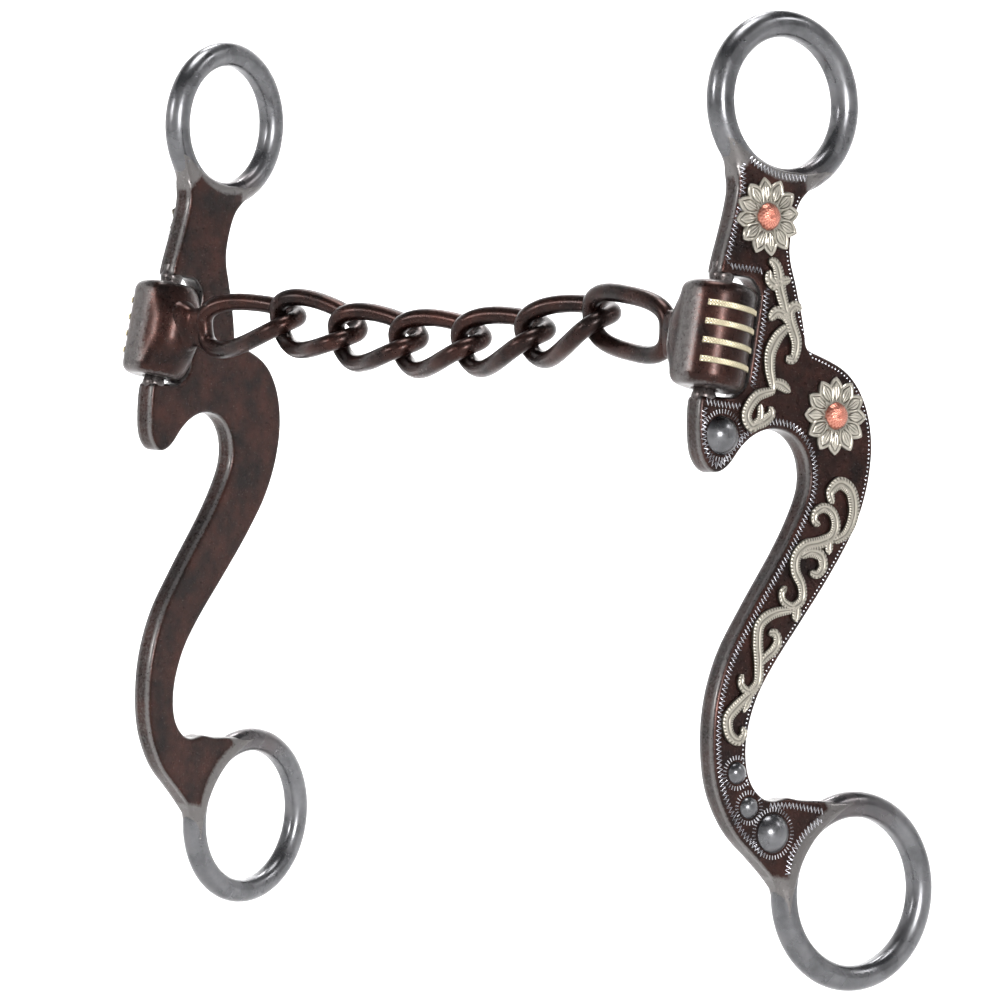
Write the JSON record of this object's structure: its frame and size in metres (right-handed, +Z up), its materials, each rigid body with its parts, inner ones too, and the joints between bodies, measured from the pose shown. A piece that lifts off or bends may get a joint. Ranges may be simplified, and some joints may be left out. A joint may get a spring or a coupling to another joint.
{
  "type": "curb bit",
  "caption": "Loose-jaw curb bit: browned S-shaped cheeks with steel rings and silver trim, swivelling barrels and a twisted chain mouth.",
  "frame": {"origin": "middle of the mouth, midway between the centres of the two barrels", "axes": "+X to the left side of the horse, +Y back along the reins, +Z up along the cheeks"},
  "size_m": [0.1632, 0.0466, 0.1605],
  "materials": {
    "browned_steel": "antique browned steel, worn grey on its edges",
    "polished_steel": "polished steel with fine wear",
    "german_silver": "engraved white metal, dark in its cuts",
    "engraved_silver": "cross-hatched strip of warm white metal",
    "copper": "stippled bright copper"
  },
  "bodies": {
    "middle_link": {"chain_link_3": "browned_steel"},
    "link_2": {"chain_link_2": "browned_steel"},
    "link_1": {"chain_link_1": "browned_steel"},
    "link_4": {"chain_link_4": "browned_steel"},
    "link_5": {"chain_link_5": "browned_steel"},
    "left_barrel": {"barrel_left": "browned_steel", "barrel_bands_left": "engraved_silver", "end_loop_left": "browned_steel"},
    "right_barrel": {"barrel_right": "browned_steel", "barrel_bands_right": "engraved_silver", "end_loop_right": "browned_steel"},
    "left_cheek": {"cheek_left": "browned_steel", "headstall_ring_left": "polished_steel", "rein_ring_left": "polished_steel", "upper_flower_left": "german_silver", "lower_flower_left": "german_silver", "flower_centres_left": "copper", "upper_scroll_left": "german_silver", "lower_scroll_left": "german_silver", "spur_stud_left": "polished_steel", "shank_studs_left": "polished_steel"},
    "right_cheek": {"cheek_right": "browned_steel", "headstall_ring_right": "polished_steel", "rein_ring_right": "polished_steel", "upper_flower_right": "german_silver", "lower_flower_right": "german_silver", "flower_centres_right": "copper", "upper_scroll_right": "german_silver", "lower_scroll_right": "german_silver", "spur_stud_right": "polished_steel", "shank_studs_right": "polished_steel"}
  },
  "joints": [
    {"name": "chain_sag", "type": "hinge", "parent": "middle_link", "child": "link_2", "pos_m": [0.00994, 0.00422, -0.00177], "axis": [0, -1, 0], "range_deg": [-14, 10]},
    {"name": "left_link_hinge", "type": "hinge", "parent": "link_2", "child": "link_1", "pos_m": [0.02597, 0.00422, -0.00016], "axis": [0, -1, 0], "range_deg": [-14, 10]},
    {"name": "left_loop_hinge", "type": "hinge", "parent": "link_1", "child": "left_barrel", "pos_m": [0.04179, 0.00422, 0.00283], "axis": [0, -1, 0], "range_deg": [-20, 28]},
    {"name": "left_swivel", "type": "hinge", "parent": "left_barrel", "child": "left_cheek", "pos_m": [0.07008, 0.00059, 0], "axis": [0.0082, -0.2455, -0.9694], "range_deg": [-40, 40]},
    {"name": "right_sag_hinge", "type": "hinge", "parent": "middle_link", "child": "link_4", "pos_m": [-0.00616, 0.00422, -0.00197], "axis": [0, 1, 0], "range_deg": [-14, 10]},
    {"name": "right_link_hinge", "type": "hinge", "parent": "link_4", "child": "link_5", "pos_m": [-0.02222, 0.00422, -0.00077], "axis": [0, 1, 0], "range_deg": [-14, 10]},
    {"name": "right_loop_hinge", "type": "hinge", "parent": "link_5", "child": "right_barrel", "pos_m": [-0.03812, 0.00422, 0.00182], "axis": [0, 1, 0], "range_deg": [-20, 28]},
    {"name": "right_swivel", "type": "hinge", "parent": "right_barrel", "child": "right_cheek", "pos_m": [-0.07008, 0.00059, 0], "axis": [0.0082, 0.2455, 0.9694], "range_deg": [-40, 40]}
  ],
  "couplings": [
    {"joint": "left_link_hinge", "follows": "chain_sag", "ratio": 1},
    {"joint": "left_loop_hinge", "follows": "chain_sag", "ratio": -2},
    {"joint": "right_sag_hinge", "follows": "chain_sag", "ratio": 1},
    {"joint": "right_link_hinge", "follows": "chain_sag", "ratio": 1},
    {"joint": "right_loop_hinge", "follows": "chain_sag", "ratio": -2}
  ]
}
